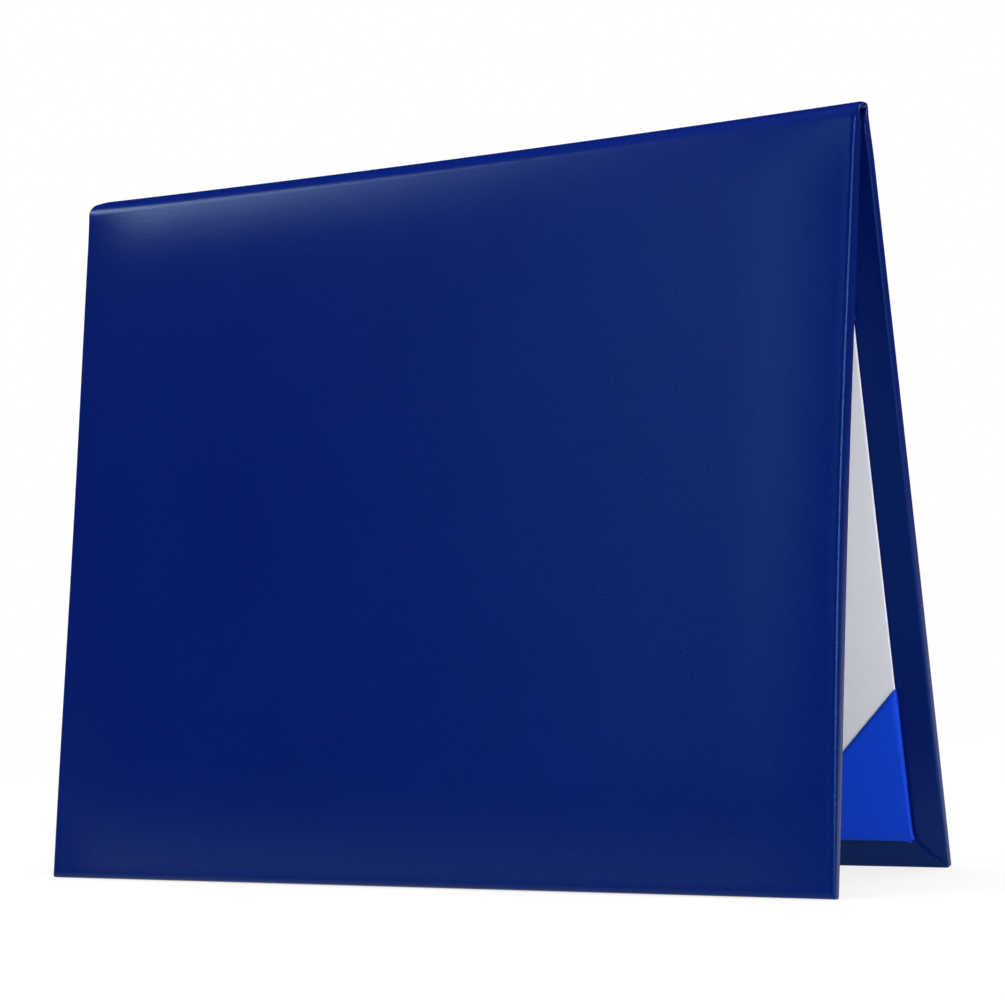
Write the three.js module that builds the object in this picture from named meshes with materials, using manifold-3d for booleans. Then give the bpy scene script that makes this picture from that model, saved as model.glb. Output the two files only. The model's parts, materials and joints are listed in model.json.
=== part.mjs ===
// A padded diploma cover that folds along its top edge and stands open like a tent.
// Two boards with foam pads are wrapped in leatherette, which runs over the soft spine between them.
// A white liner panel covers the turned-in edges of each, and ribbon corners hold the certificate.
// Millimetres, +Z up. X runs along the fold, the front cover is on the -Y side, the table is at z = 0.
import * as THREE from "three";
import { mergeVertices } from "three/addons/utils/BufferGeometryUtils.js";
import Module from "manifold-3d";

const wasm = await Module();
wasm.setup();

// The liner panel is one letter-size sheet, and each cover is that sheet with a border round it.
// A cover's height is measured from its bottom edge up to its fold line.
const LINER_WIDTH = 279.4;
const LINER_HEIGHT = 215.9;
const SIDE_BORDER = 10.3;
const BOTTOM_BORDER = 9.6;
const TOP_BORDER = 14.5;
const COVER_WIDTH = LINER_WIDTH + 2 * SIDE_BORDER;
const COVER_HEIGHT = BOTTOM_BORDER + LINER_HEIGHT + TOP_BORDER;

// Each cover leans this far from upright
const LEAN = THREE.MathUtils.degToRad(8.9);

// Thickness of each material
const LEATHER = 0.6;
const PAD_EDGE = 0.4;
const BOARD = 2.2;
const LINER = 1.1;
const RIBBON = 0.35;

// Shape of the padded face and of the rolled edges
const CROWN = 2.6;
const CROWN_REACH = 35;
const EDGE_ROLL = 2;
const INNER_ROLL = 0.7;
const PLAN_CORNER = 2;
const CORNER_SPREAD = 0.9;

// Widths of what is folded in or glued on inside
const TURN_IN = 18;
const SPINE_TURN_IN = 16;
const HINGE_STRIP = 22;
const MITRE_START = 1.5;

// The ribbon corners are right triangles on the liner panel
const RIBBON_LEG = 49;

// How far below the fold line each layer stops
const STRIP_TOP = 3;
const BOARD_TOP = 4;
const PAD_TOP = 5;

// Clearances
const LAYER_GAP = 0.3;
const RIBBON_GAP = 0.2;
const CLOSED_GAP = 0.5;
const HINGE_GAP = 0.5;

// Fineness of the curves
const CORNER_STEPS = 4;
const ROLL_STEPS = 4;
const CROWN_STEPS = [1, 0.8, 0.6, 0.42, 0.27, 0.14, 0.04];
const PLATE_CURVE_STEPS = 6;

// Length by which a cutting solid runs past what it cuts
const OVERRUN = 6;

// Depths of the layers, from the outer face at the edge inwards
const PAD_FRONT = LEATHER + LAYER_GAP;
const PAD_BACK = PAD_FRONT + PAD_EDGE;
const BOARD_FRONT = PAD_BACK + LAYER_GAP;
const BOARD_BACK = BOARD_FRONT + BOARD;
const THICKNESS = BOARD_BACK + LAYER_GAP + LEATHER;
const PLAIN_LINER_BACK = THICKNESS + LAYER_GAP;
const RIBBON_LINER_BACK = THICKNESS + RIBBON_GAP + RIBBON + RIBBON_GAP;
const RIBBON_FACE = RIBBON_LINER_BACK + LINER + RIBBON_GAP + RIBBON;

// The fold lines lie in the middle of the outer leatherette, and the covers close flat between them
const FOLD_DEPTH = LEATHER / 2;
const SPINE_WIDTH = PLAIN_LINER_BACK + LINER + RIBBON_FACE - 2 * FOLD_DEPTH + CLOSED_GAP;

// Turns a closed geometry into a solid that can be cut
function solidOf(geometry) {
  const bare = geometry.clone();
  bare.deleteAttribute("normal");
  bare.deleteAttribute("uv");
  const merged = mergeVertices(bare);
  const vertProperties = new Float32Array(merged.attributes.position.array);
  const triVerts = new Uint32Array(merged.index.array);
  return new wasm.Manifold(new wasm.Mesh({ numProp: 3, vertProperties, triVerts }));
}

// Turns a cut solid back into a geometry
function geometryOf(solid) {
  const { vertProperties, triVerts } = solid.getMesh();
  const geometry = new THREE.BufferGeometry();
  geometry.setAttribute("position", new THREE.BufferAttribute(vertProperties, 3));
  geometry.setIndex(new THREE.BufferAttribute(triVerts, 1));
  geometry.computeVertexNormals();
  return geometry;
}

function cut(geometry, ...cutters) {
  let solid = solidOf(geometry);
  for (const cutter of cutters) {
    solid = solid.subtract(solidOf(cutter));
  }
  return geometryOf(solid);
}

// A cover's own frame: x along the fold, y inwards through its thickness, z up from the fold line.
// A flat piece is an outline in x and z, extruded between two depths.
function plate(shape, fromDepth, toDepth) {
  const thickness = toDepth - fromDepth;
  const settings = { depth: thickness, bevelEnabled: false, curveSegments: PLATE_CURVE_STEPS };
  const geometry = new THREE.ExtrudeGeometry(shape, settings);
  geometry.rotateX(Math.PI / 2);
  geometry.translate(0, toDepth - FOLD_DEPTH, 0);
  return geometry;
}

function polygon(points) {
  return new THREE.Shape(points.map(([x, z]) => new THREE.Vector2(x, z)));
}

function rectangle(halfWidth, low, high) {
  return polygon([
    [-halfWidth, low],
    [halfWidth, low],
    [halfWidth, high],
    [-halfWidth, high],
  ]);
}

function roundedRectangle(halfWidth, low, high, radius) {
  const shape = new THREE.Shape();
  const quarter = Math.PI / 2;
  shape.absarc(halfWidth - radius, low + radius, radius, -quarter, 0);
  shape.absarc(halfWidth - radius, high - radius, radius, 0, quarter);
  shape.absarc(-halfWidth + radius, high - radius, radius, quarter, 2 * quarter);
  shape.absarc(-halfWidth + radius, low + radius, radius, 2 * quarter, 3 * quarter);
  return shape;
}

// One ring of a wrapped or padded piece: a rounded rectangle at one depth, pulled in from the
// cover's sides and bottom by inset, and from the fold line by top
function ringPoints({ inset, top, depth, corner }) {
  const halfWidth = COVER_WIDTH / 2 - inset;
  const low = inset - COVER_HEIGHT;
  const high = -top;
  const centres = [
    [halfWidth - corner, low + corner],
    [halfWidth - corner, high - corner],
    [corner - halfWidth, high - corner],
    [corner - halfWidth, low + corner],
  ];
  const points = [];
  centres.forEach(([x, z], quadrant) => {
    for (let step = 0; step <= CORNER_STEPS; step += 1) {
      const angle = (quadrant - 1 + step / CORNER_STEPS) * (Math.PI / 2);
      points.push([x + corner * Math.cos(angle), depth - FOLD_DEPTH, z + corner * Math.sin(angle)]);
    }
  });
  return points;
}

// A closed solid through a row of rings, with a flat cap in the first ring and in the last
function ringSolid(rings) {
  const outlines = rings.map(ringPoints);
  const count = outlines[0].length;
  const positions = outlines.flat(2);
  const index = [];
  for (let ring = 0; ring + 1 < outlines.length; ring += 1) {
    for (let k = 0; k < count; k += 1) {
      const next = (k + 1) % count;
      const a = ring * count;
      const b = a + count;
      index.push(a + k, b + k, b + next, a + k, b + next, a + next);
    }
  }
  const lastRing = (outlines.length - 1) * count;
  const firstCentre = positions.length / 3;
  for (const { inset, top, depth } of [rings[0], rings.at(-1)]) {
    positions.push(0, depth - FOLD_DEPTH, (inset - COVER_HEIGHT - top) / 2);
  }
  for (let k = 0; k < count; k += 1) {
    const next = (k + 1) % count;
    index.push(firstCentre, k, next);
    index.push(firstCentre + 1, lastRing + next, lastRing + k);
  }
  const geometry = new THREE.BufferGeometry();
  geometry.setAttribute("position", new THREE.Float32BufferAttribute(positions, 3));
  geometry.setIndex(index);
  return geometry;
}

// The padded face rises from its edges to the crown, and its contours grow rounder on the way
function crownRing(share, offset) {
  const run = share * CROWN_REACH;
  return {
    inset: EDGE_ROLL + run,
    top: PAD_TOP + run,
    depth: offset - CROWN * (1 - (1 - share) ** 2),
    corner: PLAN_CORNER + run * CORNER_SPREAD,
  };
}

// A ring of the edge, which runs past the fold line at the top, where the wrap is cut open later
function edgeRing(inset, depth, corner) {
  return { inset, top: inset - OVERRUN, depth, corner };
}

// A quarter round of the edge about the centre of its outer roll, from the side (1) to the face (0)
function rollRings(radius, corner) {
  const rings = [];
  for (let step = ROLL_STEPS; step >= 0; step -= 1) {
    const angle = (step / ROLL_STEPS) * (Math.PI / 2);
    const inset = EDGE_ROLL - radius * Math.sin(angle);
    rings.push(edgeRing(inset, EDGE_ROLL - radius * Math.cos(angle), corner));
  }
  return rings;
}

const innerDiagonal = INNER_ROLL * (1 - Math.SQRT1_2);
const outsideOfEdge = [
  ...rollRings(EDGE_ROLL, PLAN_CORNER).reverse(),
  edgeRing(0, THICKNESS - INNER_ROLL, PLAN_CORNER),
  edgeRing(innerDiagonal, THICKNESS - innerDiagonal, PLAN_CORNER),
  edgeRing(INNER_ROLL, THICKNESS, PLAN_CORNER),
];

// The outline that the hinge strip fills between the turned-in sides: its ends are mitred at 45 degrees
function hingeOutline(clearance, high) {
  const low = -HINGE_STRIP;
  const halfWidthAt = (z) => COVER_WIDTH / 2 - MITRE_START + z - clearance * Math.SQRT2;
  return polygon([
    [-halfWidthAt(low), low],
    [halfWidthAt(low), low],
    [halfWidthAt(high), high],
    [-halfWidthAt(high), high],
  ]);
}

// The leatherette of one cover: the padded face, the rolled edges and the border that is turned in
// behind the board at the sides and the bottom. At the top only the outer sheet goes on, and ends
// just short of the fold line.
function leatherette() {
  const inside = PLAN_CORNER - LEATHER;
  const wrap = ringSolid([
    ...CROWN_STEPS.map((share) => crownRing(share, 0)),
    ...outsideOfEdge,
    edgeRing(TURN_IN, THICKNESS, PLAN_CORNER),
    edgeRing(TURN_IN, THICKNESS - LEATHER, PLAN_CORNER),
    edgeRing(LEATHER, THICKNESS - LEATHER, inside),
    ...rollRings(EDGE_ROLL - LEATHER, inside),
    ...CROWN_STEPS.toReversed().map((share) => crownRing(share, LEATHER)),
  ]);
  const behind = THICKNESS + LAYER_GAP;
  const aboveFold = plate(rectangle(COVER_WIDTH, -HINGE_GAP, 2 * OVERRUN), -OVERRUN, behind);
  const behindTongue = plate(rectangle(COVER_WIDTH, -STRIP_TOP, 2 * OVERRUN), LEATHER, behind);
  const topTurnIn = plate(hingeOutline(0, OVERRUN), THICKNESS - LEATHER - LAYER_GAP, behind);
  return cut(wrap, aboveFold, behindTongue, topTurnIn);
}

// The foam pad: crowned like the face over it and flat on the board
function foamPad() {
  const rim = crownRing(CROWN_STEPS.at(-1), PAD_FRONT);
  return ringSolid([
    ...CROWN_STEPS.map((share) => crownRing(share, PAD_FRONT)),
    { ...rim, depth: PAD_BACK },
  ]);
}

function board() {
  const inset = LEATHER + LAYER_GAP;
  const halfWidth = COVER_WIDTH / 2 - inset;
  const low = inset - COVER_HEIGHT;
  const outline = roundedRectangle(halfWidth, low, -BOARD_TOP, PLAN_CORNER - inset);
  return plate(outline, BOARD_FRONT, BOARD_BACK);
}

function hingeStrip() {
  return plate(hingeOutline(LAYER_GAP, -STRIP_TOP), THICKNESS - LEATHER, THICKNESS);
}

const linerLow = BOTTOM_BORDER - COVER_HEIGHT;
const linerHigh = -TOP_BORDER;

function linerPanel(back) {
  return plate(rectangle(LINER_WIDTH / 2, linerLow, linerHigh), back, back + LINER);
}

// A ribbon corner: a flat pocket round one corner of the liner panel, open along its diagonal.
// sideSign and heightSign say which corner, and reach is how far the triangle stands out round it.
function ribbonTriangle(sideSign, heightSign, reach, leg) {
  const x = sideSign * (LINER_WIDTH / 2 + reach);
  const z = (heightSign > 0 ? linerHigh : linerLow) + heightSign * reach;
  const points = [
    [x, z],
    [x - sideSign * leg, z],
    [x, z - heightSign * leg],
  ];
  return polygon(sideSign * heightSign > 0 ? points : points.toReversed());
}

function ribbonCorner(sideSign, heightSign) {
  const reach = RIBBON_GAP + RIBBON;
  const outer = ribbonTriangle(sideSign, heightSign, reach, RIBBON_LEG + reach);
  const pocket = ribbonTriangle(sideSign, heightSign, RIBBON_GAP, RIBBON_LEG + OVERRUN);
  const frontOfPocket = RIBBON_LINER_BACK - RIBBON_GAP;
  const backOfPocket = RIBBON_LINER_BACK + LINER + RIBBON_GAP;
  return cut(
    plate(outer, frontOfPocket - RIBBON, RIBBON_FACE),
    plate(pocket, frontOfPocket, backOfPocket),
  );
}

// The spine's outer leatherette: a strip from fold line to fold line, its two ends turned in under
function spineLeatherette() {
  const height = 3 * LEATHER + 2 * LAYER_GAP;
  const outerRadius = height / 2;
  const innerRadius = outerRadius - LEATHER;
  const middle = FOLD_DEPTH - outerRadius;
  const endX = COVER_WIDTH / 2 - outerRadius;
  const flapX = COVER_WIDTH / 2 - SPINE_TURN_IN;
  const up = Math.PI / 2;
  const shape = new THREE.Shape();
  shape.moveTo(-flapX, middle - outerRadius);
  shape.absarc(-endX, middle, outerRadius, -up, -3 * up, true);
  shape.absarc(endX, middle, outerRadius, up, -up, true);
  shape.lineTo(flapX, middle - outerRadius);
  shape.lineTo(flapX, middle - innerRadius);
  shape.absarc(endX, middle, innerRadius, -up, up, false);
  shape.absarc(-endX, middle, innerRadius, up, 3 * up, false);
  shape.lineTo(-flapX, middle - innerRadius);
  shape.closePath();
  const halfWidth = SPINE_WIDTH / 2 - HINGE_GAP;
  return plate(shape, FOLD_DEPTH - halfWidth, FOLD_DEPTH + halfWidth);
}

// The part of the hinge strip that lines the spine
function spineLining() {
  const top = FOLD_DEPTH - LEATHER - LAYER_GAP;
  const halfLength = COVER_WIDTH / 2 - LEATHER - LAYER_GAP;
  const halfWidth = SPINE_WIDTH / 2 - LEATHER - LAYER_GAP;
  const outline = rectangle(halfLength, top - LEATHER, top);
  return plate(outline, FOLD_DEPTH - halfWidth, FOLD_DEPTH + halfWidth);
}

function material(color, roughness) {
  return new THREE.MeshStandardMaterial({ color, roughness, metalness: 0 });
}

const leatherBlue = () => material(0x0b1f7c, 0.42);
const hingeBlue = () => material(0x0a1a63, 0.5);
const foamGrey = () => material(0xd8d6cc, 0.95);
const greyboard = () => material(0x9a9184, 0.9);
const linerWhite = () => material(0xf2f2f5, 0.8);
const satinBlue = () => material(0x1140c4, 0.35);

function part(name, geometry, finish) {
  const mesh = new THREE.Mesh(geometry, finish);
  mesh.name = name;
  return mesh;
}

// One cover in its own frame
function cover(name, linerBack) {
  const group = new THREE.Group();
  group.add(
    part(`${name}_leatherette`, leatherette(), leatherBlue()),
    part(`${name}_foam_pad`, foamPad(), foamGrey()),
    part(`${name}_board`, board(), greyboard()),
    part(`${name}_hinge_strip`, hingeStrip(), hingeBlue()),
    part(`${name}_liner_panel`, linerPanel(linerBack), linerWhite()),
  );
  return group;
}

// Height of the fold lines over the table, with the covers standing on their rolled bottom edges
const dropOf = ({ inset, depth }) =>
  (COVER_HEIGHT - inset) * Math.cos(LEAN) + (depth - FOLD_DEPTH) * Math.sin(LEAN);
const FOLD_HEIGHT = Math.max(...outsideOfEdge.map(dropOf));

const frontCover = cover("front", PLAIN_LINER_BACK);
frontCover.position.set(0, -SPINE_WIDTH / 2, FOLD_HEIGHT);
frontCover.rotation.x = -LEAN;

// The back cover is the same, turned to face the front one, and it holds the certificate
const backCover = cover("back", RIBBON_LINER_BACK);
backCover.add(
  part("ribbon_corner_lower_left", ribbonCorner(1, -1), satinBlue()),
  part("ribbon_corner_lower_right", ribbonCorner(-1, -1), satinBlue()),
  part("ribbon_corner_upper_left", ribbonCorner(1, 1), satinBlue()),
  part("ribbon_corner_upper_right", ribbonCorner(-1, 1), satinBlue()),
);
backCover.rotation.z = Math.PI;
const backHinge = new THREE.Group();
backHinge.position.set(0, SPINE_WIDTH / 2, FOLD_HEIGHT);
backHinge.rotation.x = LEAN;
backHinge.add(backCover);

const spine = new THREE.Group();
spine.position.z = FOLD_HEIGHT;
spine.add(
  part("spine_leatherette", spineLeatherette(), leatherBlue()),
  part("spine_lining", spineLining(), hingeBlue()),
);

const diplomaCover = new THREE.Group();
diplomaCover.add(frontCover, spine, backHinge);

export default diplomaCover;
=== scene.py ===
import json
import math

import bpy
import numpy as np
from mathutils import Matrix, Vector


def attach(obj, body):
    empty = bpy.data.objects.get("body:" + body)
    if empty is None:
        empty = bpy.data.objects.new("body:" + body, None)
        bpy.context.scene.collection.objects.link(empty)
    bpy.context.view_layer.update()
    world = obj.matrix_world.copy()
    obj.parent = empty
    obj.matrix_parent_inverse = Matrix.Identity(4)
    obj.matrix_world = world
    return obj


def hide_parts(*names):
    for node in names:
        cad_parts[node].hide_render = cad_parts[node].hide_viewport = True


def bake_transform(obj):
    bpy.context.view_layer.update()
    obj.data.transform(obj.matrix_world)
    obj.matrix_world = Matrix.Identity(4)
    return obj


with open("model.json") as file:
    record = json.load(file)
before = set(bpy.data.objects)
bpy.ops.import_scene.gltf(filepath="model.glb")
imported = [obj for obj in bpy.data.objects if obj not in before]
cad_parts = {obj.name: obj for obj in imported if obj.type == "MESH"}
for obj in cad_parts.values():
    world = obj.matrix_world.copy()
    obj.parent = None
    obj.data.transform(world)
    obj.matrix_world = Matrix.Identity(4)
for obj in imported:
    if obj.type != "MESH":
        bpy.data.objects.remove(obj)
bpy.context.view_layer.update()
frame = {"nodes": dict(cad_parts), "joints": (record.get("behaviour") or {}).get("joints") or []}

# Sizes in metres, written in millimetres
MM = 0.001
LINER_WIDTH = 279.4 * MM
LINER_HEIGHT = 215.9 * MM
SIDE_BORDER = 10.3 * MM
BOTTOM_BORDER = 9.6 * MM
TOP_BORDER = 14.5 * MM
COVER_WIDTH = LINER_WIDTH + 2 * SIDE_BORDER
COVER_HEIGHT = BOTTOM_BORDER + LINER_HEIGHT + TOP_BORDER

# Layers, and their depths from the outer face at the edge inwards
LEATHER = 0.6 * MM
LAYER_GAP = 0.3 * MM
PAD_EDGE = 0.4 * MM
LINER = 1.1 * MM
RIBBON_GAP = 0.2 * MM
RIBBON = 0.35 * MM
PAD_FRONT = LEATHER + LAYER_GAP
PAD_BACK = PAD_FRONT + PAD_EDGE
BOARD_BACK = PAD_BACK + LAYER_GAP + 2.2 * MM
THICKNESS = BOARD_BACK + LAYER_GAP + LEATHER
PLAIN_LINER_BACK = THICKNESS + LAYER_GAP
RIBBON_LINER_BACK = THICKNESS + 2 * RIBBON_GAP + RIBBON
FOLD_DEPTH = LEATHER / 2

# Padded face and edges
EDGE_INSET = 2 * MM
ROLL_FULLNESS = 0.88
PAD_TOP = 5 * MM
CROWN = 2.6 * MM
CROWN_TOP = 2.5 * MM
TOP_POWER = 3
CROWN_REACH = 35 * MM
EDGE_SWELL = 0.8 * MM
CORNER_PINCH = 0.9 * MM
PINCH_REACH = 40 * MM
FRONT_TRIM = 0.3 * MM
FRONT_PULL = 0.6 * MM
BACK_TRIM = -0.6 * MM
BACK_PULL = 0.1 * MM
SPINE_LIP = 2.0 * MM
LIP_REACH = 5 * MM
FLAP_BULGE = 1.0 * MM
FLAP_REACH = 6 * MM
FLAP_GAP = 0.5 * MM
FLAP_LEAST = 0.4 * MM
TURN_IN = 16 * MM
INNER_ROLL = 0.7 * MM
MITRE_START = 1.5 * MM
MITRE_LAP = 1.5 * MM
MITRE_RISE = 0.18 * MM
CORNER_POWER = 8
SPINE_ROLL = 0.85 * MM
RIPPLE = 0.06 * MM
SKIN = 0.5 * MM
CELL = 2.4 * MM

# How much wider the front cover is at the fold, and how that changes down it: plain and squared
RIGHT_FLARE = (2.1 * MM, -2.45 * MM, 0)
LEFT_FLARE = (1.1 * MM, -3.0 * MM, 1.9 * MM)

# Folds and ridge
FRONT_FOLD_RADIUS = 5.0 * MM
BACK_FOLD_RADIUS = 1.8 * MM
RIDGE_LIFT = 0.45 * MM
RIDGE_SAG = 1.05 * MM
SAG_REACH = 45 * MM
ARCH = 2.0 * MM
ARCH_REACH = 14 * MM

# Rows of points across half the spine and round the fold
SPINE_ROWS = 4
ARC_ROWS = 9

# Shares of a quarter turn or of a length at which the rolled edge gets its rows
CORNER_SHARES = (0.2, 0.4, 0.5, 0.6, 0.8)
OUTER_SHARES = (0.06, 0.16, 0.28, 0.4, 0.52, 0.64, 0.76, 0.88, 1.0)
FLAP_SHARES = (0.04, 0.12, 0.25, 0.4, 0.6, 0.8, 1.0)

# Hinge strip: its path round the board's top edge as depth and distance below the fold line, in millimetres
HINGE_STRIP = 22
HINGE_PATH = (
    (1.0, 2.2),
    (1.15, 3.1),
    (1.9, 3.6),
    (3.4, 3.5),
    (4.35, 3.9),
    (4.7, 5.2),
    (4.7, 9.0),
    (4.7, 15.0),
    (4.7, HINGE_STRIP),
)
HINGE_BEND = 3.4 * MM
HINGE_THICKNESS = 0.3 * MM

# Foam pads and liner panels
PAD_INSET = 1.4 * MM
LINER_ROUND = 0.3 * MM
LINER_SOFT = 0.25 * MM

# Ribbon corners
RIBBON_LEG = 49 * MM
RIBBON_TAIL = 14 * MM
RIBBON_SHEET = 0.14 * MM
RIBBON_WRAP = 0.3 * MM
RIBBON_EAR = 0.9 * MM
EAR_REACH = 1.6 * MM
RIBBON_DOME = 0.16 * MM
RIBBON_CLEARANCE = 0.02 * MM
TAIL_START = 0.4 * MM

# The fold lines and the lean come from the joints
joints = {joint["name"]: joint for joint in frame["joints"]}
FOLD_Y = joints["back_fold"]["pos_m"][1]
FOLD_Z = joints["back_fold"]["pos_m"][2]
LEAN = math.radians(-joints["back_fold"]["range_deg"][0])
RIDGE_Z = FOLD_Z + FOLD_DEPTH
HALF = COVER_WIDTH / 2
FACE_HALF = HALF - EDGE_INSET
FACE_BOTTOM = COVER_HEIGHT - EDGE_INSET

# A leatherette sheet is mapped flat, so that its grain runs on over the edges. One UV unit is UV_SPAN long.
UV_SPAN = 0.4
UV_ORIGIN = (UV_SPAN / 2, 0.06)

# Colours
SPECKLE = 1.6
MOTTLE = 0.4
LEATHER_BLUE = (0.0008, 0.0082, 0.120)
LINING_BLUE = (0.0011, 0.0085, 0.100)
SATIN_BLUE = (0.003, 0.058, 0.72)
FOAM_LOW = (0.62, 0.61, 0.55)
FOAM_HIGH = (0.7, 0.69, 0.63)
BOARD_LOW = (0.29, 0.26, 0.21)
BOARD_HIGH = (0.36, 0.32, 0.26)

# Lamps: name, azimuth and elevation in degrees, distance, size and power
WORLD_LIGHT = 0.16
OVERHEAD_PLACE = (0, 0.02, 1.2)
OVERHEAD_POWER = 16
LAMPS = (
    ("upper_left", -66, 41, 1.7, (0.7, 0.5), 9.5),
    ("front_left", -20, 25, 1.9, (0.22, 1.0), 2.6),
    ("side_right", 62, 12, 1.7, (0.5, 0.6), 12.5),
    ("back_right", 150, 30, 1.8, (0.6, 0.8), 4),
)
AIM = (0, 0, 0.12)

# Camera, fitted to the edges of the cover in the photo
PHOTO_WIDTH = 1005
FOCAL_PX = 2866
SENSOR = 36
CAMERA_PLACE = (0.5130, -0.8096, 0.1074)
CAMERA_YAW = 31.61
CAMERA_PITCH = 0.99
CAMERA_ROLL = -2.55


# Geometry helpers


def smooth(value):
    """0 below 0, 1 above 1, and an even rise between."""
    t = np.clip(value, 0, 1)
    return t * t * (3 - 2 * t)


def cover_to_world(x, depth, below):
    """Points of the front cover: along the fold, inwards from its outer face, down from the fold line."""
    x, depth, below = np.broadcast_arrays(x, depth, below)
    inward = depth - FOLD_DEPTH
    y = -FOLD_Y + inward * math.cos(LEAN) - below * math.sin(LEAN)
    z = FOLD_Z - inward * math.sin(LEAN) - below * math.cos(LEAN)
    return np.stack([x, y, z], axis=-1)


def turned(points):
    """The back cover is the front one turned half round the upright axis."""
    return points * np.array([-1.0, -1.0, 1.0])


def mesh_object(name, points, faces, uvs=None):
    mesh = bpy.data.meshes.new(name)
    mesh.from_pydata([tuple(p) for p in points], [], faces)
    mesh.validate()
    if uvs is not None:
        layer = mesh.uv_layers.new(name="flat")
        corners = np.empty(len(mesh.loops), dtype=np.int32)
        mesh.loops.foreach_get("vertex_index", corners)
        layer.data.foreach_set("uv", np.asarray(uvs, dtype=np.float32)[corners].ravel())
    mesh.polygons.foreach_set("use_smooth", [True] * len(mesh.polygons))
    piece = bpy.data.objects.new(name, mesh)
    bpy.context.scene.collection.objects.link(piece)
    return piece


def grid_faces(row_count, column_count, down_first):
    """Quads of a grid of points. Each starts down its column or, if not down_first, along its row."""
    faces = []
    for j in range(row_count - 1):
        for i in range(column_count - 1):
            a = j * column_count + i
            if down_first:
                faces.append((a, a + column_count, a + column_count + 1, a + 1))
            else:
                faces.append((a, a + 1, a + column_count + 1, a + column_count))
    return faces


def running_length(path):
    """The distance along a path at each of its points."""
    return np.concatenate([[0], np.cumsum(np.linalg.norm(np.diff(path, axis=0), axis=1))])


def apply_modifiers(piece):
    graph = bpy.context.evaluated_depsgraph_get()
    baked = bpy.data.meshes.new_from_object(piece.evaluated_get(graph))
    piece.modifiers.clear()
    piece.data = baked


def thicken(piece, thickness):
    """Gives a sheet its thickness on the inner side."""
    modifier = piece.modifiers.new("thickness", "SOLIDIFY")
    modifier.thickness = thickness
    modifier.offset = -1
    apply_modifiers(piece)


# The shape of the padded face, shared by the leatherette and the foam under it


def rise(distance, power=2):
    """The crown's share of its full height at a distance from an edge."""
    share = np.clip(distance / CROWN_REACH, 0, 1)
    return 1 - (1 - share) ** power


def face_height(x, below):
    """How far the padded face stands out from the flat outer plane of the cover."""
    side = FACE_HALF - np.abs(x)
    above = FACE_BOTTOM - below
    crown = CROWN * rise(side) * rise(above) * rise(below - CROWN_TOP, TOP_POWER)
    middle = np.sin(np.pi * np.clip(below / COVER_HEIGHT, 0, 1))
    swell = EDGE_SWELL * middle * np.exp(-(side / CROWN_REACH) ** 2)
    pinch = CORNER_PINCH * np.exp(-np.hypot(side, above) / PINCH_REACH)
    ripple = RIPPLE * np.sin(x / (31 * MM) + 1.7) * np.sin(below / (43 * MM) + x / (97 * MM))
    return crown + swell - pinch + ripple * rise(side) * rise(above) * rise(below - CROWN_TOP)


# The leatherette: rows run from the middle of the spine over the fold and down to the bottom edge


def skin_rows(radius):
    """Each row's place, outward normal, downward tangent and distance below the fold line."""
    turn = math.pi / 2 - LEAN
    tangent_length = radius * math.tan(turn / 2)
    start_below = tangent_length - FOLD_DEPTH * math.tan(turn / 2)
    face_normal = np.array([0, -math.cos(LEAN), math.sin(LEAN)])
    face_down = np.array([0, -math.sin(LEAN), -math.cos(LEAN)])
    arc_start = cover_to_world(0, 0, start_below)
    centre = arc_start - radius * face_normal
    rows = []
    flat_end = centre[1]
    for share in np.linspace(0, 1, SPINE_ROWS + 1)[:-1]:
        place = np.array([0, share * flat_end, RIDGE_Z])
        rows.append((place, np.array([0, 0, 1.0]), np.array([0, -1.0, 0]), flat_end * (1 - share)))
    for share in np.linspace(0, 1, ARC_ROWS):
        angle = math.pi / 2 + share * turn
        normal = np.array([0, math.cos(angle), math.sin(angle)])
        down = np.array([0, -math.sin(angle), math.cos(angle)])
        rows.append((centre + radius * normal, normal, down, share * start_below))
    count = round((FACE_BOTTOM - start_below) / CELL)
    for below in np.linspace(start_below, FACE_BOTTOM, count + 1)[1:]:
        rows.append((cover_to_world(0, 0, below), face_normal, face_down, below))
    return rows


def corner_direction(share):
    """From straight sideways (0) to straight down (1), longer in between: the corner is nearly square."""
    angle = share * math.pi / 2
    side = math.cos(angle)
    bottom = math.sin(angle)
    reach = (side**CORNER_POWER + bottom**CORNER_POWER) ** (-1 / CORNER_POWER)
    return reach * side, reach * bottom


def edge_profile(below, swell):
    """The rolled edge as points (outset, depth): out and over the side, then in behind the board."""
    full = smooth(below / LIP_REACH)
    bulge = FLAP_BULGE * math.exp(-((below - FLAP_REACH) / FLAP_REACH) ** 2)
    thickness = SPINE_LIP + (THICKNESS + bulge - SPINE_LIP) * full
    outer = SPINE_ROLL + (EDGE_INSET - SPINE_ROLL) * full
    inner = SPINE_ROLL + (INNER_ROLL - SPINE_ROLL) * full
    points = []
    for share in OUTER_SHARES:
        angle = share * math.pi / 2
        height = (outer + swell) * (1 - math.cos(angle) ** ROLL_FULLNESS) - swell
        points.append((EDGE_INSET * math.sin(angle) ** ROLL_FULLNESS, height))
    for share in np.linspace(0, 1, 5):
        angle = share * math.pi / 2
        outset = EDGE_INSET - inner * (1 - math.cos(angle))
        points.append((outset, thickness - inner * (1 - math.sin(angle))))
    for share in FLAP_SHARES:
        points.append((EDGE_INSET - inner - share * TURN_IN, thickness))
    return points


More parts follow.
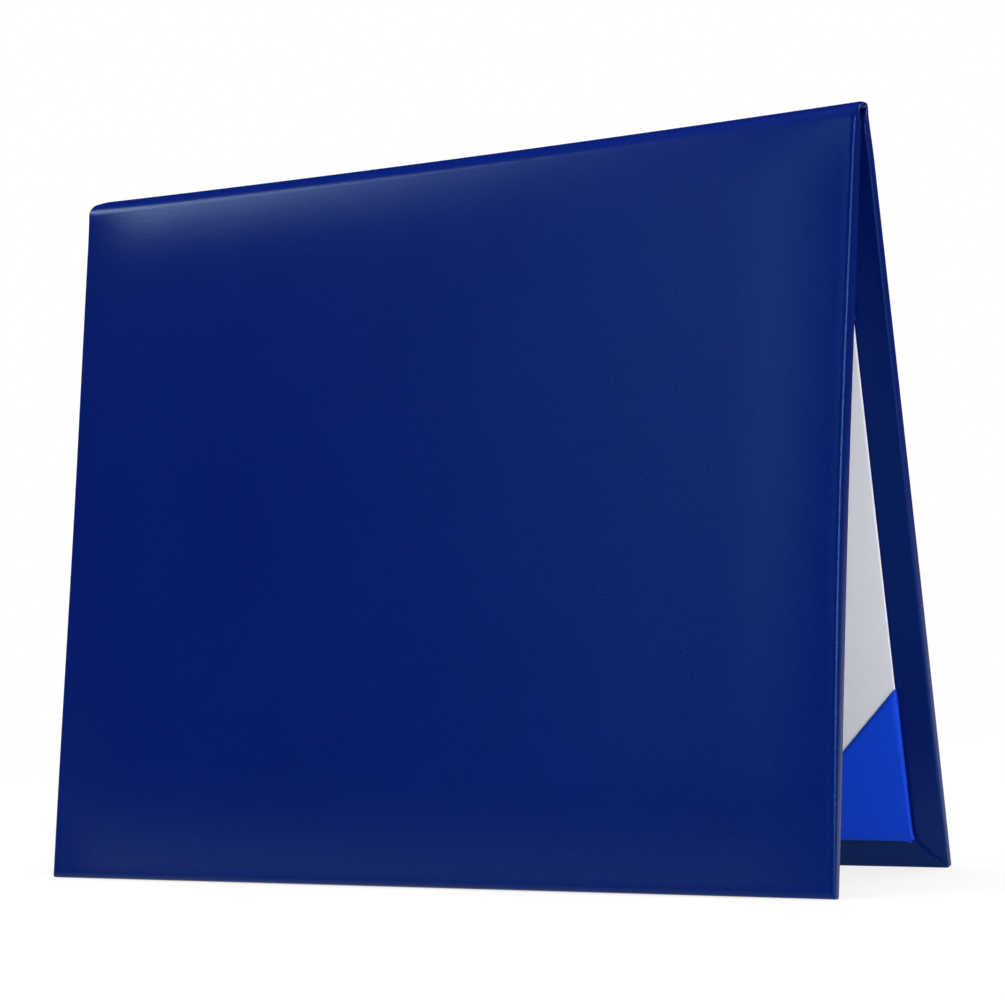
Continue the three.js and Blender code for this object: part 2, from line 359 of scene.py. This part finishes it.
def edge_stations(row_count, column_count):
    """Rim points as row, column and direction: down the left side, along the bottom, up the right side."""
    last = row_count - 1
    stations = []
    for j in range(row_count):
        stations.append((j, 0, -1.0, 0.0))
    for share in CORNER_SHARES:
        side, bottom = corner_direction(share)
        stations.append((last, 0, -side, bottom))
    for i in range(column_count):
        stations.append((last, i, 0.0, 1.0))
    for share in CORNER_SHARES:
        bottom, side = corner_direction(share)
        stations.append((last, column_count - 1, side, bottom))
    for j in range(last, -1, -1):
        stations.append((j, column_count - 1, 1.0, 0.0))
    return stations


def flap_limit(side, bottom, x, below):
    """How far the turned-in flap reaches behind the board before it meets its neighbour at the mitre."""
    if side and bottom:
        return 0.0
    if side:
        return min(FACE_BOTTOM - below + MITRE_LAP, max(below - FLAP_GAP, FLAP_LEAST))
    return FACE_HALF - abs(x)


def leatherette(name, back):
    """One cover's leatherette with its half of the spine, as one sheet."""
    rows = skin_rows(BACK_FOLD_RADIUS if back else FRONT_FOLD_RADIUS)
    columns = np.linspace(-FACE_HALF, FACE_HALF, round(2 * FACE_HALF / CELL) + 1)
    place = np.array([row[0] for row in rows])
    normal = np.array([row[1] for row in rows])
    down = np.array([row[2] for row in rows])
    below = np.array([row[3] for row in rows])
    length = running_length(place)
    x_grid, below_grid = np.meshgrid(columns, below)
    height = face_height(x_grid, below_grid)
    trim, most = (BACK_TRIM, BACK_PULL) if back else (FRONT_TRIM, FRONT_PULL)
    pull = trim + most * np.sin(np.pi * np.clip(below / COVER_HEIGHT, 0, 1)) ** 2
    pull = pull * smooth(below / ARCH_REACH)
    points = place[:, None, :] + normal[:, None, :] * height[..., None]
    points[..., 0] = x_grid * (1 - pull[:, None] / HALF)
    points = points.reshape(-1, 3)
    uvs = np.stack([x_grid, np.broadcast_to(length[:, None], x_grid.shape)], axis=-1).reshape(-1, 2)
    row_count, column_count = x_grid.shape
    faces = grid_faces(row_count, column_count, down_first=True)

    # Rings of points follow the rim outwards, over the edge and in behind the board
    stations = edge_stations(row_count, column_count)
    previous = [j * column_count + i for j, i, _, _ in stations]
    profiles = [edge_profile(below[j], height[j, i]) for j, i, _, _ in stations]
    all_points = [points]
    all_uvs = [uvs]
    total = len(points)
    travelled = np.zeros(len(stations))
    for k in range(len(profiles[0])):
        ring = []
        ring_uvs = []
        for s, (j, i, side, bottom) in enumerate(stations):
            outset, depth = profiles[s][k]
            before = profiles[s][k - 1] if k else (0.0, -height[j, i])
            travelled[s] += math.hypot(outset - before[0], depth - before[1])
            limit = flap_limit(side, bottom, columns[i], below[j])
            outset = max(outset, -limit)
            if bottom and outset < 0:
                lap = smooth(-outset / MITRE_LAP) * math.exp(-(limit + outset) / TURN_IN)
                depth += MITRE_RISE * lap
            across = np.array([columns[i] * (1 - pull[j] / HALF) + side * outset, 0, 0])
            ring.append(place[j] + across + down[j] * bottom * outset - normal[j] * depth)
            ring_uvs.append((columns[i] + side * travelled[s], length[j] + bottom * travelled[s]))
        current = list(range(total, total + len(ring)))
        for s in range(len(stations) - 1):
            quad = [previous[s], current[s], current[s + 1], previous[s + 1]]
            corners = list(dict.fromkeys(quad))
            if len(corners) > 2:
                faces.append(tuple(corners))
        previous = current
        total += len(ring)
        all_points.append(np.array(ring))
        all_uvs.append(np.array(ring_uvs))
    points = np.concatenate(all_points)
    uvs = (np.concatenate(all_uvs) + np.array(UV_ORIGIN)) / UV_SPAN
    if back:
        points = turned(points)
    points[:, 0] += front_flare(points)
    points[:, 2] += ridge_shape(points)
    piece = mesh_object(name, points, faces, uvs)
    weld(piece)
    thicken(piece, SKIN)
    return piece


def front_flare(points):
    """The front cover's leatherette is a little wider at the fold than at the bottom edge."""
    below = ((RIDGE_Z - points[:, 2]) / COVER_HEIGHT).clip(0, 1)
    right = RIGHT_FLARE[0] + RIGHT_FLARE[1] * below + RIGHT_FLARE[2] * below**2
    left = LEFT_FLARE[0] + LEFT_FLARE[1] * below + LEFT_FLARE[2] * below**2
    along = points[:, 0] / HALF
    front = smooth((FOLD_Y - points[:, 1]) / (2 * FOLD_Y))
    return front * (right * along.clip(0, None) + left * along.clip(None, 0))


def ridge_shape(points):
    """The spine arches up towards the back cover and the right end, and the long ridge hangs a little."""
    across = points[:, 1] / FOLD_Y
    along = points[:, 0] / HALF
    bow = smooth((across + 1) / 1.7) - 0.2 * smooth(across - 0.7)
    arch = RIDGE_LIFT * (1 + along) + ARCH * bow
    sag = RIDGE_SAG * (1 - along**2).clip(0)
    drop = RIDGE_Z - points[:, 2]
    return arch * (1 - smooth(drop / ARCH_REACH)) - sag * (1 - smooth(drop / SAG_REACH))


def weld(piece):
    """Joins the points that a mitre brings together."""
    modifier = piece.modifiers.new("weld", "WELD")
    modifier.merge_threshold = 0.02 * MM
    apply_modifiers(piece)


def fold_ends(radius):
    """Where the front cover's leatherette starts to bend and where it has turned into the spine."""
    rows = skin_rows(radius)
    return rows[SPINE_ROWS + ARC_ROWS - 1][0], rows[SPINE_ROWS][0]


def blend_front(piece):
    start, end = fold_ends(FRONT_FOLD_RADIUS)
    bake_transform(piece)


def blend_back(piece):
    start, end = fold_ends(BACK_FOLD_RADIUS)
    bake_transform(piece)


# The hinge strip inside the fold


def smooth_path(points, steps):
    """A Catmull-Rom curve through the points."""
    points = np.asarray(points)
    padded = np.vstack([2 * points[0] - points[1], points, 2 * points[-1] - points[-2]])
    path = []
    for a, b, c, d in zip(padded, padded[1:], padded[2:], padded[3:]):
        for step in range(steps):
            t = step / steps
            square = 2 * a - 5 * b + 4 * c - d
            cube = 3 * b - a - 3 * c + d
            path.append(0.5 * (2 * b + (c - a) * t + square * t**2 + cube * t**3))
    path.append(points[-1])
    return np.array(path)


def hinge_lining(name, back):
    """Half of the hinge strip: under the spine, round the board's top edge and down the inner face."""
    under_spine = RIDGE_Z - LEATHER - LAYER_GAP
    anchors = [np.array([0, 0, under_spine]), np.array([0, -FOLD_Y + HINGE_BEND, under_spine])]
    for depth, below in HINGE_PATH:
        anchors.append(cover_to_world(0, depth * MM, below * MM))
    path = smooth_path(anchors, 5)
    length = running_length(path)
    drop = -(path[:, 1] + FOLD_Y) * math.sin(LEAN) - (path[:, 2] - FOLD_Z) * math.cos(LEAN)
    below = np.clip(drop, 0, None)
    half_width = HALF - MITRE_START - below - LAYER_GAP
    shares = np.linspace(-1, 1, 61)
    points = np.empty((len(path), len(shares), 3))
    points[..., 0] = half_width[:, None] * shares[None, :]
    points[..., 1] = path[:, 1][:, None]
    points[..., 2] = path[:, 2][:, None]
    uvs = np.stack([points[..., 0], np.broadcast_to(length[:, None], points.shape[:2])], axis=-1)
    faces = grid_faces(*points.shape[:2], down_first=False)
    points = points.reshape(-1, 3)
    uvs = (uvs.reshape(-1, 2) + np.array(UV_ORIGIN)) / UV_SPAN
    if back:
        points = turned(points)
    points[:, 0] += front_flare(points)
    points[:, 2] += ridge_shape(points)
    piece = mesh_object(name, points, faces, uvs)
    thicken(piece, HINGE_THICKNESS)
    return piece


# What is inside the covers


def foam_pad(name, back):
    """A closed pad that lies flat on the board and swells under the leatherette."""
    inset = EDGE_INSET + PAD_INSET
    columns = np.linspace(-(HALF - inset), HALF - inset, 60)
    rows = np.linspace(PAD_TOP + PAD_INSET, COVER_HEIGHT - inset, 48)
    x, below = np.meshgrid(columns, rows)
    top = cover_to_world(x, PAD_FRONT - face_height(x, below), below)
    bottom = cover_to_world(x, PAD_BACK, below)
    points = np.concatenate([top.reshape(-1, 3), bottom.reshape(-1, 3)])
    count = x.size
    width = len(columns)
    faces = []
    for j in range(len(rows) - 1):
        for i in range(width - 1):
            a = j * width + i
            faces.append((a, a + width, a + width + 1, a + 1))
            faces.append((a + count, a + count + 1, a + count + width + 1, a + count + width))
    rim = list(range(width))
    rim += [j * width + width - 1 for j in range(1, len(rows))]
    rim += [(len(rows) - 1) * width + i for i in range(width - 2, -1, -1)]
    rim += [j * width for j in range(len(rows) - 2, 0, -1)]
    for a, b in zip(rim, rim[1:] + rim[:1]):
        faces.append((a, b, b + count, a + count))
    if back:
        points = turned(points)
    return mesh_object(name, points, faces)


def liner_panel(name, back_depth, back):
    """The white panel: card with paper turned over its softly rounded edges."""
    profile = []
    for share in np.linspace(1, 0, 5):
        angle = share * math.pi / 2
        inset = LINER_ROUND * (1 - math.cos(angle))
        profile.append((inset, LINER - LINER_ROUND * (1 - math.sin(angle))))
    profile += [(inset, LINER - depth) for inset, depth in reversed(profile)]
    rings = []
    for inset, depth in profile:
        half = LINER_WIDTH / 2 - inset
        top = TOP_BORDER + inset
        bottom = TOP_BORDER + LINER_HEIGHT - inset
        corners = ((-half, top), (half, top), (half, bottom), (-half, bottom))
        rings.append([cover_to_world(x, back_depth + depth, below) for x, below in corners])
    points = np.array(rings).reshape(-1, 3)
    faces = [(0, 1, 2, 3)]
    for k in range(len(rings) - 1):
        for s in range(4):
            a = 4 * k + s
            b = 4 * k + (s + 1) % 4
            faces.append((a, a + 4, b + 4, b))
    end = 4 * (len(rings) - 1)
    faces.append((end + 3, end + 2, end + 1, end))
    if back:
        points = turned(points)
    piece = mesh_object(name, points, faces)
    piece.data.polygons.foreach_set("use_smooth", [False] * len(piece.data.polygons))
    bevel = piece.modifiers.new("soft corners", "BEVEL")
    bevel.width = LINER_SOFT
    bevel.segments = 2
    bevel.limit_method = "ANGLE"
    bevel.angle_limit = math.radians(60)
    apply_modifiers(piece)
    return piece


def ribbon_corner(name, side, top):
    """A satin ribbon laid across one corner of the panel and folded round both of its edges."""
    across = [0.05 * MM, 0.5 * MM, 1.2 * MM, *np.linspace(2.2 * MM, RIBBON_LEG, 24)]
    middle = LINER / 2
    rows = []
    for c in across:
        ear = RIBBON_EAR * math.exp(-c / EAR_REACH)
        tail = [q / math.sqrt(2) for q in np.linspace(RIBBON_TAIL, TAIL_START, 4)]
        turn = []
        for share in np.linspace(0, 1, 5):
            angle = share * math.pi
            reach = RIBBON_WRAP + ear * math.sin(angle)
            outwards = -reach * math.sin(angle) - RIBBON_CLEARANCE
            turn.append((outwards, middle - (middle + RIBBON_WRAP) * math.cos(angle)))

        # The tail behind the panel, the turn round one edge, the front, the other turn, the other tail
        line = [(c + q, q, -RIBBON_WRAP) for q in tail]
        line += [(c, outwards, height) for outwards, height in turn]
        for share in np.linspace(0, 1, 22)[1:-1]:
            dome = RIBBON_DOME * math.sin(share * math.pi) * (c / RIBBON_LEG)
            line.append((c * (1 - share), c * share, LINER + RIBBON_WRAP * 0.6 + dome))
        line += [(outwards, c, height) for outwards, height in reversed(turn)]
        line += [(q, c + q, -RIBBON_WRAP) for q in reversed(tail)]
        rows.append(line)
    local = np.array(rows)
    u, w, height = local[..., 0], local[..., 1], local[..., 2]
    x = side * (LINER_WIDTH / 2 - u)
    below = TOP_BORDER + w if top else TOP_BORDER + LINER_HEIGHT - w
    points = turned(cover_to_world(-x, RIBBON_LINER_BACK + height, below).reshape(-1, 3))
    faces = grid_faces(*u.shape, down_first=False)
    if (side > 0) != top:
        faces = [face[::-1] for face in faces]
    uvs = np.stack([x, below], axis=-1).reshape(-1, 2) / UV_SPAN + np.array([0.5, 0.1])
    piece = mesh_object(name, points, faces, uvs)
    thicken(piece, RIBBON_SHEET)
    turns = 2 * RIBBON_LEG * (LINER + 2 * RIBBON_WRAP)
    tails = math.sqrt(2) * RIBBON_LEG * RIBBON_TAIL
    return piece, 0.5 * RIBBON_LEG**2 + turns + tails


# Materials


def new_material(name, color, roughness):
    material = bpy.data.materials.new(name)
    material.use_nodes = True
    shader = material.node_tree.nodes["Principled BSDF"]
    shader.inputs["Base Color"].default_value = (*color, 1)
    shader.inputs["Roughness"].default_value = roughness
    return material, shader


def add(material, kind, **settings):
    node = material.node_tree.nodes.new(kind)
    for key, value in settings.items():
        if key in node.inputs:
            node.inputs[key].default_value = value
        else:
            setattr(node, key, value)
    return node


def link(material, source, output, target, socket):
    material.node_tree.links.new(source.outputs[output], target.inputs[socket])


def flat_coordinates(material, scale):
    """The sheet's own flat coordinates in millimetres, stretched by scale along each direction."""
    uv = add(material, "ShaderNodeUVMap", uv_map="flat")
    mapping = add(material, "ShaderNodeMapping")
    millimetres = UV_SPAN / MM
    mapping.inputs["Scale"].default_value = (millimetres * scale[0], millimetres * scale[1], 1)
    link(material, uv, "UV", mapping, "Vector")
    return mapping


def ramp(material, source, output, low, high, from_low=0.0, from_high=1.0):
    node = add(material, "ShaderNodeMapRange")
    node.inputs["From Min"].default_value = from_low
    node.inputs["From Max"].default_value = from_high
    node.inputs["To Min"].default_value = low
    node.inputs["To Max"].default_value = high
    link(material, source, output, node, "Value")
    return node


def color_mix(material, source, output, low, high):
    node = add(material, "ShaderNodeValToRGB")
    node.color_ramp.elements[0].color = (*low, 1)
    node.color_ramp.elements[1].color = (*high, 1)
    node.color_ramp.elements[0].position = 0.1
    node.color_ramp.elements[1].position = 0.9
    link(material, source, output, node, "Fac")
    return node


def bump(material, source, output, distance, strength, below=None):
    node = add(material, "ShaderNodeBump")
    node.inputs["Strength"].default_value = strength
    node.inputs["Distance"].default_value = distance
    link(material, source, output, node, "Height")
    if below is not None:
        link(material, below, "Normal", node, "Normal")
    return node


def leather_material(name, color, roughness, grain_depth):
    """Smooth leatherette: small pebbles with fine creases between them, and a slow change of gloss."""
    material, shader = new_material(name, color, roughness)
    shader.inputs["Specular IOR Level"].default_value = 0.23
    shader.inputs["Specular Tint"].default_value = (0.35, 0.82, 1.0, 1)
    pebbles = flat_coordinates(material, (2.3, 2.0))
    cells = add(material, "ShaderNodeTexVoronoi", feature="SMOOTH_F1", Scale=1.0, Smoothness=0.6)
    link(material, pebbles, "Vector", cells, "Vector")
    fine = add(material, "ShaderNodeTexNoise", Scale=1.6, Detail=2.0)
    link(material, pebbles, "Vector", fine, "Vector")
    slow_map = flat_coordinates(material, (0.02, 0.02))
    slow = add(material, "ShaderNodeTexNoise", Scale=1.0, Detail=3.0)
    link(material, slow_map, "Vector", slow, "Vector")
    low = tuple(0.85 * c for c in color)
    high = tuple(1.15 * c for c in color)
    speckle = add(material, "ShaderNodeMath", operation="MULTIPLY_ADD")
    speckle.inputs[1].default_value = SPECKLE
    speckle.inputs[2].default_value = (1 - MOTTLE - SPECKLE) / 2
    link(material, fine, "Fac", speckle, 0)
    mottle = add(material, "ShaderNodeMath", operation="MULTIPLY_ADD")
    mottle.inputs[1].default_value = MOTTLE
    link(material, slow, "Fac", mottle, 0)
    link(material, speckle, "Value", mottle, 2)
    tint = color_mix(material, mottle, "Value", low, high)
    link(material, tint, "Color", shader, "Base Color")
    gloss = ramp(material, mottle, "Value", roughness - 0.06, roughness + 0.06)
    link(material, gloss, "Result", shader, "Roughness")
    first = bump(material, cells, "Distance", grain_depth, 1.0)
    second = bump(material, fine, "Fac", 0.7 * grain_depth, 0.8, first)
    link(material, second, "Normal", shader, "Normal")
    return material


def paper_material():
    """White paper with a trace of its fibres."""
    material, shader = new_material("liner_paper", (0.86, 0.87, 0.92), 0.75)
    place = add(material, "ShaderNodeTexCoord")
    fibres = add(material, "ShaderNodeTexNoise", Scale=900.0, Detail=4.0)
    link(material, place, "Object", fibres, "Vector")
    tint = color_mix(material, fibres, "Fac", (0.84, 0.85, 0.90), (0.88, 0.89, 0.94))
    link(material, tint, "Color", shader, "Base Color")
    rough = bump(material, fibres, "Fac", 0.04 * MM, 0.4)
    link(material, rough, "Normal", shader, "Normal")
    return material


def satin_material():
    """Satin: fine threads that run up the ribbon, with a soft sheen."""
    material, shader = new_material("satin_ribbon", SATIN_BLUE, 0.45)
    shader.inputs["Specular IOR Level"].default_value = 0.25
    shader.inputs["Specular Tint"].default_value = (0.5, 0.8, 1.0, 1)
    shader.inputs["Sheen Weight"].default_value = 0.1
    shader.inputs["Sheen Tint"].default_value = (0.3, 0.55, 1.0, 1)
    shader.inputs["Sheen Roughness"].default_value = 0.4
    threads_map = flat_coordinates(material, (3.0, 0.06))
    threads = add(material, "ShaderNodeTexNoise", Scale=1.0, Detail=2.0)
    link(material, threads_map, "Vector", threads, "Vector")
    weft_map = flat_coordinates(material, (0.08, 4.0))
    weft = add(material, "ShaderNodeTexNoise", Scale=1.0, Detail=1.0)
    link(material, weft_map, "Vector", weft, "Vector")
    low = tuple(0.9 * c for c in SATIN_BLUE)
    high = tuple(1.1 * c for c in SATIN_BLUE)
    tint = color_mix(material, threads, "Fac", low, high)
    link(material, tint, "Color", shader, "Base Color")
    first = bump(material, threads, "Fac", 0.05 * MM, 0.6)
    second = bump(material, weft, "Fac", 0.02 * MM, 0.5, first)
    link(material, second, "Normal", shader, "Normal")
    return material


def fibre_material(name, low, high, roughness, scale):
    """Foam or greyboard: a mottled matt surface."""
    material, shader = new_material(name, low, roughness)
    place = add(material, "ShaderNodeTexCoord")
    speckle = add(material, "ShaderNodeTexNoise", Scale=scale, Detail=5.0)
    link(material, place, "Object", speckle, "Vector")
    tint = color_mix(material, speckle, "Fac", low, high)
    link(material, tint, "Color", shader, "Base Color")
    rough = bump(material, speckle, "Fac", 0.1 * MM, 0.5)
    link(material, rough, "Normal", shader, "Normal")
    return material


def paint(piece, material):
    piece.data.materials.clear()
    piece.data.materials.append(material)


# Camera


def make_camera():
    yaw, pitch, roll = (math.radians(a) for a in (CAMERA_YAW, CAMERA_PITCH, CAMERA_ROLL))
    forward = Vector((-math.sin(yaw) * math.cos(pitch), math.cos(yaw) * math.cos(pitch), math.sin(pitch)))
    level = Vector((math.cos(yaw), math.sin(yaw), 0))
    upright = level.cross(forward)
    right = math.cos(roll) * level + math.sin(roll) * upright
    up = math.cos(roll) * upright - math.sin(roll) * level
    data = bpy.data.cameras.new("camera")
    data.sensor_width = SENSOR
    data.lens = FOCAL_PX * SENSOR / PHOTO_WIDTH
    data.clip_start = 0.05
    data.clip_end = 100
    camera = bpy.data.objects.new("camera", data)
    axes = Matrix((right, up, -forward)).transposed()
    camera.matrix_world = Matrix.Translation(CAMERA_PLACE) @ axes.to_4x4()
    bpy.context.scene.collection.objects.link(camera)
    bpy.context.scene.camera = camera


# Studio


def area_light(name, place, aim, size, power):
    data = bpy.data.lights.new(name, "AREA")
    data.shape = "RECTANGLE"
    data.size, data.size_y = size
    data.energy = power
    lamp = bpy.data.objects.new(name, data)
    lamp.location = place
    direction = Vector(aim) - Vector(place)
    lamp.rotation_euler = direction.to_track_quat("-Z", "Y").to_euler()
    bpy.context.scene.collection.objects.link(lamp)
    return lamp


def seen_directly(material_or_world):
    """1 for rays from the camera, from glossy surfaces and through glass, 0 for other light."""
    tree = material_or_world.node_tree
    path = tree.nodes.new("ShaderNodeLightPath")
    first = tree.nodes.new("ShaderNodeMath")
    first.operation = "MAXIMUM"
    tree.links.new(path.outputs["Is Camera Ray"], first.inputs[0])
    tree.links.new(path.outputs["Is Glossy Ray"], first.inputs[1])
    second = tree.nodes.new("ShaderNodeMath")
    second.operation = "MAXIMUM"
    tree.links.new(first.outputs[0], second.inputs[0])
    tree.links.new(path.outputs["Is Transmission Ray"], second.inputs[1])
    return second


def make_world():
    world = bpy.data.worlds.new("studio")
    world.use_nodes = True
    bpy.context.scene.world = world
    background = world.node_tree.nodes["Background"]
    background.inputs["Color"].default_value = (1, 1, 1, 1)
    seen = seen_directly(world)
    strength = world.node_tree.nodes.new("ShaderNodeMapRange")
    strength.inputs["To Min"].default_value = WORLD_LIGHT
    strength.inputs["To Max"].default_value = 1.0
    world.node_tree.links.new(seen.outputs[0], strength.inputs["Value"])
    world.node_tree.links.new(strength.outputs["Result"], background.inputs["Strength"])


def make_floor():
    """A white table. What the camera sees of it is mostly its own white, so the shadow on it stays soft."""
    size = 30
    floor = mesh_object(
        "floor",
        [(-size, -size, 0), (size, -size, 0), (size, size, 0), (-size, size, 0)],
        [(0, 1, 2, 3)],
    )
    material = bpy.data.materials.new("floor")
    material.use_nodes = True
    tree = material.node_tree
    shader = tree.nodes["Principled BSDF"]
    shader.inputs["Base Color"].default_value = (0.9, 0.9, 0.9, 1)
    shader.inputs["Roughness"].default_value = 0.9
    glow = tree.nodes.new("ShaderNodeEmission")
    glow.inputs["Color"].default_value = (1, 1, 1, 1)
    glow.inputs["Strength"].default_value = 1.0
    mix = tree.nodes.new("ShaderNodeMixShader")
    seen = seen_directly(material)
    place = tree.nodes.new("ShaderNodeTexCoord")
    reach = tree.nodes.new("ShaderNodeVectorMath")
    reach.operation = "LENGTH"
    tree.links.new(place.outputs["Object"], reach.inputs[0])
    near = tree.nodes.new("ShaderNodeMapRange")
    near.inputs["From Min"].default_value = 0.2
    near.inputs["From Max"].default_value = 0.8
    near.inputs["To Min"].default_value = 0.8
    near.inputs["To Max"].default_value = 1.0
    tree.links.new(reach.outputs["Value"], near.inputs["Value"])
    share = tree.nodes.new("ShaderNodeMath")
    share.operation = "MULTIPLY"
    tree.links.new(seen.outputs[0], share.inputs[0])
    tree.links.new(near.outputs["Result"], share.inputs[1])
    tree.links.new(share.outputs[0], mix.inputs["Fac"])
    tree.links.new(shader.outputs["BSDF"], mix.inputs[1])
    tree.links.new(glow.outputs["Emission"], mix.inputs[2])
    tree.links.new(mix.outputs["Shader"], tree.nodes["Material Output"].inputs["Surface"])
    floor.data.materials.append(material)


def make_surround():
    """Dark studio walls and ceiling. Only glossy surfaces show them, which keeps their colours deep."""
    radius = 3.0
    around = 32
    up = 8
    points = [(0, 0, radius)]
    faces = []
    for ring in range(1, up + 1):
        tilt = ring / up * math.pi / 2
        for step in range(around):
            angle = 2 * math.pi * step / around
            level = radius * math.sin(tilt)
            points.append((level * math.cos(angle), level * math.sin(angle), radius * math.cos(tilt)))
    for step in range(around):
        faces.append((0, 1 + step, 1 + (step + 1) % around))
    for ring in range(up - 1):
        for step in range(around):
            a = 1 + ring * around + step
            b = 1 + ring * around + (step + 1) % around
            faces.append((a, a + around, b + around, b))
    walls = mesh_object("surround", points, faces)
    material, shader = new_material("surround", (0.02, 0.02, 0.02), 1.0)
    shader.inputs["Specular IOR Level"].default_value = 0
    walls.data.materials.append(material)
    walls.visible_camera = False
    walls.visible_diffuse = False
    walls.visible_shadow = False
    walls.visible_transmission = False


def place_at(azimuth, elevation, distance):
    """A place seen from the cover: azimuth from straight ahead of the front face, to the right."""
    a = math.radians(azimuth)
    e = math.radians(elevation)
    level = distance * math.cos(e)
    return (level * math.sin(a), -level * math.cos(a), AIM[2] + distance * math.sin(e))


def make_studio():
    make_world()
    make_floor()
    make_surround()
    overhead = area_light("overhead", OVERHEAD_PLACE, (0, 0, 0), (0.8, 0.8), OVERHEAD_POWER)
    overhead.visible_glossy = False
    for name, azimuth, elevation, distance, size, power in LAMPS:
        area_light(name, place_at(azimuth, elevation, distance), AIM, size, power)


# Build

make_camera()
make_studio()

leather = leather_material("leatherette", LEATHER_BLUE, 0.26, 0.035 * MM)
lining = leather_material("lining", LINING_BLUE, 0.42, 0.02 * MM)
paper = paper_material()
satin = satin_material()
foam = fibre_material("foam", FOAM_LOW, FOAM_HIGH, 0.95, 700.0)
greyboard = fibre_material("greyboard", BOARD_LOW, BOARD_HIGH, 0.9, 400.0)

front_skin = leatherette("cover_skin_front", back=False)
blend_front(front_skin)
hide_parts("front_leatherette", "spine_leatherette")
paint(front_skin, leather)

back_skin = leatherette("cover_skin_back", back=True)
blend_back(back_skin)
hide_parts("back_leatherette")
paint(back_skin, leather)

front_lining = hinge_lining("hinge_lining_front", back=False)
blend_front(front_lining)
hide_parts("front_hinge_strip", "spine_lining")
paint(front_lining, lining)

back_lining = hinge_lining("hinge_lining_back", back=True)
blend_back(back_lining)
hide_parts("back_hinge_strip")
paint(back_lining, lining)

for name, body, back in (("front", "front_cover", False), ("back", "back_cover", True)):
    pad = foam_pad(f"pad_{name}", back)
    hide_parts(f"{name}_foam_pad")
    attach(pad, body)
    paint(pad, foam)
    paint(frame["nodes"][f"{name}_board"], greyboard)
    depth = RIBBON_LINER_BACK if back else PLAIN_LINER_BACK
    panel = liner_panel(f"liner_{name}", depth, back)
    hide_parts(f"{name}_liner_panel")
    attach(panel, body)
    paint(panel, paper)

for height_name, top in (("lower", False), ("upper", True)):
    for side_name, side in (("left", -1), ("right", 1)):
        ribbon, ribbon_area = ribbon_corner(f"ribbon_{height_name}_{side_name}", side, top)
        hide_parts(f"ribbon_corner_{height_name}_{side_name}")
        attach(ribbon, "back_cover")
        paint(ribbon, satin)

bpy.context.scene.view_settings.view_transform = "Standard"
